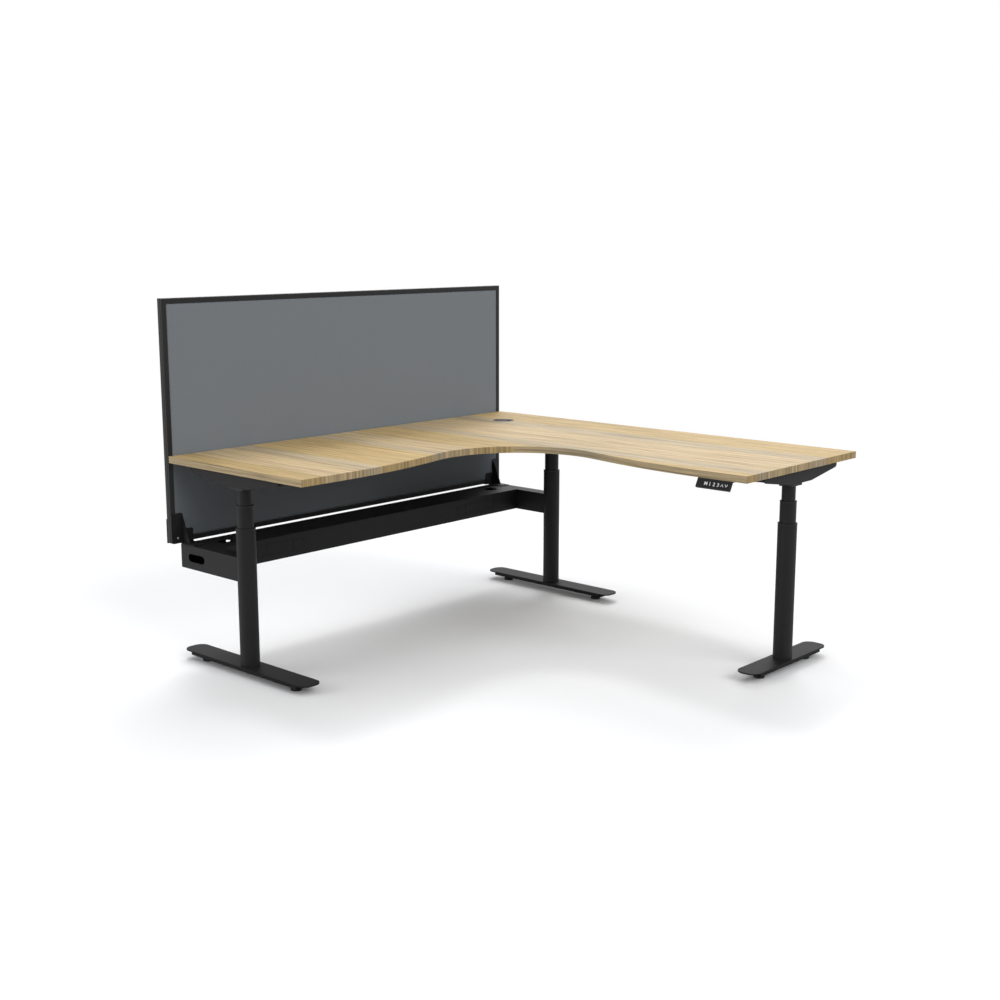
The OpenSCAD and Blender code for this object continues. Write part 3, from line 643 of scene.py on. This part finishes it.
marks = {"memory": "M", "one": "1", "two": "2", "three": "3", "up": "^", "down": "v"}
arrow_wide, arrow_high, arrow_stroke = 0.0125, 0.0105, 0.0022
outward = Vector((-math.cos(key_face_tilt), 0, math.sin(key_face_tilt)))
upward = Vector((math.sin(key_face_tilt), 0, math.cos(key_face_tilt)))
rightward = Vector((0, -1, 0))
onto_face = Matrix((rightward, upward, outward)).transposed().to_4x4()


def arrow_outline(sign):
    """The corners and faces of a chevron that points up, or down for a sign of -1."""
    w, h, s = arrow_wide / 2, arrow_high / 2, arrow_stroke
    points = [(-w, -h), (0, h), (w, -h), (w - s, -h), (0, h - 1.5 * s), (-w + s, -h)]
    faces = [(5, 4, 1, 0), (4, 3, 2, 1)] if sign > 0 else [(0, 1, 4, 5), (1, 2, 3, 4)]
    return [(x, sign * y, 0) for x, y in points], [], faces


for key, mark in marks.items():
    put_on(silicone, "key_" + key)
    if mark in "^v":
        printed = bpy.data.meshes.new("mark_" + key)
        printed.from_pydata(*arrow_outline(1 if mark == "^" else -1))
        size = 1.0
    else:
        letter = bpy.data.curves.new("mark_" + key, "FONT")
        letter.body = mark
        letter.align_x, letter.align_y = "CENTER", "CENTER"
        letter.offset = letter_swell
        typed = bpy.data.objects.new("typed_" + key, letter)
        bpy.context.scene.collection.objects.link(typed)
        graph = bpy.context.evaluated_depsgraph_get()
        printed = bpy.data.meshes.new_from_object(typed.evaluated_get(graph), depsgraph=graph)
        bpy.data.objects.remove(typed)
        xs, ys = [v.co.x for v in printed.vertices], [v.co.y for v in printed.vertices]
        size = letter_high / (max(ys) - min(ys))
        middle = Vector(((min(xs) + max(xs)) / 2, (max(ys) + min(ys)) / 2, 0))
        printed.transform(Matrix.Translation(-middle))
    low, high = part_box("key_" + key)
    centre = (low + high) / 2
    reach = max((v.co - centre).dot(outward) for v in nodes["key_" + key].data.vertices)
    printed.transform(Matrix.Translation(centre + (reach + ink_thick) * outward)
                      @ onto_face @ Matrix.Scale(size, 4))
    printed.materials.clear()
    printed.materials.append(ink)
    piece = bpy.data.objects.new("mark_" + key, printed)
    bpy.context.scene.collection.objects.link(piece)
    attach(piece, "key_" + key + "_body")


# The cable spine: a folded trough with a lid, hung between two hollow arms whose rounded ends are
# welded to the columns. All of it is coated, and its lid and arms have openings for cables.
put_on(powder, "spine_beam", "spine_cover", "spine_arm_left", "spine_arm_right")


# The screen's frame: four lengths of hollow aluminium, mitred at the corners and anodised black,
# with the draw lines of the extrusion just visible along each.
frame_black = (0.0055, 0.0055, 0.0058)
frame_sheen = (0.009, 0.009, 0.0095)
draw_line = 0.0007
draw_stretch = 0.01

anodised, mix, where = new_finish("frame_aluminium")
place = mix.add("ShaderNodeSeparateXYZ", None, {0: where})
low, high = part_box("screen_frame")
from_side = mix.add("ShaderNodeMath", {"operation": "MINIMUM"},
                    {0: place["X"] - low.x, 1: high.x - place["X"]})
from_end = mix.add("ShaderNodeMath", {"operation": "MINIMUM"},
                   {0: place["Z"] - low.z, 1: high.z - place["Z"]})
standing = from_side < from_end
squeezed_x = draw_stretch + (1 - draw_stretch) * standing
squeezed_z = 1 - (1 - draw_stretch) * standing
draw_way = mix.add("ShaderNodeCombineXYZ", None, {
    0: place["X"] * squeezed_x, 1: place["Y"], 2: place["Z"] * squeezed_z})
draw = mix.spots(draw_way, draw_line, detail=2.0, seed=21.0)
surface(mix, height=draw, depth=0.00003, strength=0.5,
        Base_Color=mix.mixed(draw, frame_black, frame_sheen),
        Roughness=0.36 + 0.14 * draw, Specular_IOR_Level=0.28)
put_on(anodised, "screen_frame")


# The screen's core: a soft pinning board of pressed fibre, held by the frame all round and closed
# in between its two cloths.
fibre_brown = (0.24, 0.21, 0.17)
fibre_pale = (0.36, 0.33, 0.28)
flock_size = 0.004

core, mix, where = new_finish("pinning_board")
flock = mix.spots(where, flock_size, detail=4.0, seed=22.0)
surface(mix, height=flock, depth=0.0004, strength=0.5,
        Base_Color=mix.mixed(flock, fibre_brown, fibre_pale), Roughness=0.9)
put_on(core, "screen_board")


# The screen's cloths: mid-grey polyester in a plain weave, one on each face. Each is stretched over
# the board, glued, and rolled in round the edge where the frame grips it.
yarn_pitch = 0.0016
yarn_light = (0.238, 0.265, 0.293)
yarn_dark = (0.162, 0.182, 0.203)
yarn_fuzz = 0.0009
melange = 0.003
melange_stretch = 0.12
cloth_thick = 0.0008
cloth_roll = 0.0009
cloth_roll_wide = 0.018
cloth_slack = 0.00015
cloth_steps = (221, 109)
ripples_per_metre = 7.0
ripple_seed = 26.0

cloth, mix, where = new_finish("screen_cloth")
place = mix.add("ShaderNodeSeparateXYZ", None, {0: where})
warp, weft = place["X"] / yarn_pitch, place["Z"] / yarn_pitch
warp_over = abs(mix.add("ShaderNodeMath", {"operation": "SINE"}, {0: warp * math.pi}))
weft_over = abs(mix.add("ShaderNodeMath", {"operation": "SINE"}, {0: weft * math.pi}))
square = (mix.add("ShaderNodeMath", {"operation": "FLOOR"}, {0: warp})
          + mix.add("ShaderNodeMath", {"operation": "FLOOR"}, {0: weft})) % 2
weave = square * warp_over + (1 - square) * weft_over
fuzz = mix.spots(where, yarn_fuzz, detail=3.0, seed=23.0)
melange_x = mix.spots(where, melange, detail=2.0, seed=24.0, stretch=(melange_stretch, 1, 1))
melange_z = mix.spots(where, melange, detail=2.0, seed=25.0, stretch=(1, 1, melange_stretch))
blend = 0.35 * weave + 0.25 * fuzz + 0.2 * (melange_x + melange_z)
surface(mix, height=weave + 0.4 * fuzz, depth=0.0003, strength=0.6,
        Base_Color=mix.mixed(blend, yarn_dark, yarn_light),
        Roughness=0.82 + 0.12 * fuzz, Specular_IOR_Level=0.2,
        Sheen_Weight=0.08, Sheen_Roughness=0.5)

stretched = bpy.data.node_groups.new("stretched_cloth", "GeometryNodeTree")
stretched.interface.new_socket("Start", in_out="INPUT", socket_type="NodeSocketGeometry")
for label in ("Width", "Height", "Roll", "Roll width", "Slack", "Seed"):
    stretched.interface.new_socket(label, in_out="INPUT", socket_type="NodeSocketFloat")
stretched.interface.new_socket("Finish", in_out="INPUT", socket_type="NodeSocketMaterial")
stretched.interface.new_socket("Cloth", in_out="OUTPUT", socket_type="NodeSocketGeometry")
rule = Recipe(stretched)
given = rule.add("NodeGroupInput")
plain = rule.add("GeometryNodeMeshGrid", None, {
    "Size X": given["Width"], "Size Y": given["Height"],
    "Vertices X": cloth_steps[0], "Vertices Y": cloth_steps[1]})
spot = rule.add("GeometryNodeInputPosition")
place = rule.add("ShaderNodeSeparateXYZ", None, {0: spot})
in_x = given["Width"] / 2 - abs(place["X"])
in_y = given["Height"] / 2 - abs(place["Y"])
inside = rule.add("ShaderNodeMath", {"operation": "MINIMUM"}, {0: in_x, 1: in_y})
share = rule.add("ShaderNodeClamp", None, {0: inside / given["Roll width"]})
dip = (1 - share) * (1 - share) * given["Roll"]
ripple = rule.add("ShaderNodeTexNoise", {"noise_dimensions": "4D"}, {
    "Vector": spot, "W": given["Seed"], "Scale": ripples_per_metre, "Detail": 1.0})
ease = (ripple - 0.5) * given["Slack"] * share
formed = rule.add("GeometryNodeSetPosition", None, {
    "Geometry": plain,
    "Offset": rule.add("ShaderNodeCombineXYZ", None, {0: 0.0, 1: 0.0, 2: ease - dip})})
smooth = rule.add("GeometryNodeSetShadeSmooth", None, {"Geometry": formed})
real = rule.add("GeometryNodeRealizeInstances", None, {"Geometry": smooth})
done = rule.add("GeometryNodeSetMaterial", None, {"Geometry": real, "Material": given["Finish"]})
rule.add("NodeGroupOutput", None, {"Cloth": done})

for side, way in (("front", -1), ("back", 1)):
    low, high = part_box("screen_fabric_" + side)
    wide, tall = high.x - low.x, high.z - low.z
    face_y = low.y if side == "front" else high.y
    piece = grown("cloth_" + side, stretched, bpy.data.meshes.new("start"),
                  Width=wide, Height=tall, Roll=cloth_roll, **{"Roll width": cloth_roll_wide},
                  Slack=cloth_slack, Seed=ripple_seed + way, Finish=cloth)
    middle = (low + high) / 2
    out = Matrix(((-way, 0, 0), (0, 0, way), (0, 1, 0))).to_4x4()
    piece.data.transform(Matrix.Translation((middle.x, face_y - way * cloth_slack, middle.z)) @ out)
    wall = piece.modifiers.new("cloth_thickness", "SOLIDIFY")
    wall.thickness = cloth_thick
    wall.offset = -1
    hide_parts("screen_fabric_" + side)
    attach(piece, "base")


# The screen's brackets: plates of 3 mm steel folded round the lower corners of the screen and
# bolted to the spine's arms. Black screws go into the frame, and one bright bolt ties the gusset.
bracket_plate = 0.003
bracket_screw_head = (0.0033, 0.002)
bracket_screws_at = [(0.0105, 0.095), (0.0105, 0.038)]
bracket_foot_screws_at = [(0.047, -0.072), (0.073, -0.072)]
bracket_bolt_head = (0.0048, 0.003)
bracket_bolt_at = (0.0255, 0.0205)
put_on(powder, "screen_bracket_left", "screen_bracket_right")

spine_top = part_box("spine_arm_left")[1].z
front_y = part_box("screen_frame")[0].y - bracket_plate
forwards, upwards = (0, -1, 0), (0, 0, 1)
dark_places, bright_places = [], []
for side, sign in (("left", 1), ("right", -1)):
    low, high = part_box("screen_bracket_" + side)
    end = low.x if sign > 0 else high.x
    dark_places += [((end + sign * x, front_y, spine_top + z), forwards)
                    for x, z in bracket_screws_at]
    dark_places += [((end + sign * x, front_y + y, spine_top + bracket_plate), upwards)
                    for x, y in bracket_foot_screws_at]
    x, z = bracket_bolt_at
    bright_places.append(((end + sign * x, front_y, spine_top + z), forwards))
screws("bracket_screws", "base", dark_places, bracket_screw_head, blackened)
screws("bracket_bolts", "base", bright_places, bracket_bolt_head, bright_zinc)


# The studio: a white floor and white surroundings. Two lamps behind the screen throw the shadows
# forwards. The others, and a wide lobe in the surroundings, light what faces the camera.
floor_reach = 60.0
floor_white = (0.965, 0.972, 0.985)
floor_bounce = 0.3
floor_fades = (1.8, 3.4)
sky_light = 0.28
sky_rise = 0.15
sky_rise_by = 0.5
front_light = 0.28
front_way = Vector((-0.745, -0.667, 0.0))

# Each lamp's strength, its width in degrees and the way its light goes
lamps = {
    "behind_low": (1.12, 32, (-0.663, -0.383, -0.643)),
    "behind_high": (0.53, 12, (-0.25, -0.433, -0.866)),
    "overhead": (0.3, 40, (0.0, 0.0, -1.0)),
    "from_left": (1.15, 40, (0.84, -0.485, -0.242)),
    "in_front": (1.27, 40, (0.0, 0.839, -0.545))}

camera_lens = 50
camera_at = (-3.7989, -3.3854, 1.5573)
camera_turn = (79.234, 0.0, -47.754)

floor_mesh = bpy.data.meshes.new("floor")
corners = [(x * floor_reach, y * floor_reach, 0) for x, y in ((-1, -1), (1, -1), (1, 1), (-1, 1))]
floor_mesh.from_pydata(corners, [], [(0, 1, 2, 3)])
floor = bpy.data.objects.new("floor", floor_mesh)
bpy.context.scene.collection.objects.link(floor)


def seen_share(recipe):
    """1 for rays that show the studio in the picture or in a mirror, and 0 for rays of light."""
    ray = recipe.add("ShaderNodeLightPath")
    return recipe.add("ShaderNodeClamp", None, {
        0: ray["Is Camera Ray"] + ray["Is Glossy Ray"] + ray["Is Transmission Ray"]})


floor_paint = bpy.data.materials.new("floor_white")
floor_paint.use_nodes = True
mix = Recipe(floor_paint.node_tree)
seen = seen_share(mix)
paint = mix.add("ShaderNodeBsdfDiffuse", None,
                {"Color": mix.mixed(seen, [floor_bounce] * 3, floor_white)})
from_middle = mix.add("ShaderNodeVectorMath", {"operation": "LENGTH"},
                      {0: mix.add("ShaderNodeTexCoord", output=3)}, output=1)
fade = rising(from_middle, *floor_fades)
white = mix.add("ShaderNodeEmission", None, {"Color": (1, 1, 1, 1), "Strength": 1.0})
mix.add("ShaderNodeOutputMaterial", None, {
    "Surface": mix.add("ShaderNodeMixShader", None, {0: fade * seen, 1: paint, 2: white})})
floor.data.materials.append(floor_paint)

world = bpy.data.worlds.new("studio")
bpy.context.scene.world = world
world.use_nodes = True
mix = Recipe(world.node_tree)
seen = seen_share(mix)
way = mix.add("ShaderNodeTexCoord", output=0)
ahead = mix.add("ShaderNodeVectorMath", {"operation": "DOT_PRODUCT"},
                {0: way, 1: front_way}, output=1)
ahead = mix.add("ShaderNodeClamp", None, {0: ahead})
rise = mix.add("ShaderNodeSeparateXYZ", None, {0: way})["Z"]
rise = mix.add("ShaderNodeClamp", None, {0: rise / sky_rise_by})
sky = sky_light + (sky_rise + front_light * ahead * ahead) * rise
mix.add("ShaderNodeOutputWorld", None, {"Surface": mix.add("ShaderNodeBackground", None, {
    "Color": (1, 1, 1, 1), "Strength": sky * (1 - seen) + seen})})

for name, (strength, spread, towards) in lamps.items():
    light = bpy.data.lights.new(name, "SUN")
    light.energy = strength
    light.angle = math.radians(spread)
    lamp = bpy.data.objects.new(name, light)
    lamp.rotation_euler = Vector(towards).to_track_quat("-Z", "Y").to_euler()
    bpy.context.scene.collection.objects.link(lamp)

camera = bpy.data.cameras.new("photographer")
camera.lens = camera_lens
camera.sensor_width = 36
eye = bpy.data.objects.new("photographer", camera)
eye.location = camera_at
eye.rotation_euler = [math.radians(turn) for turn in camera_turn]
bpy.context.scene.collection.objects.link(eye)
bpy.context.scene.camera = eye
bpy.context.scene.view_settings.view_transform = "Standard"
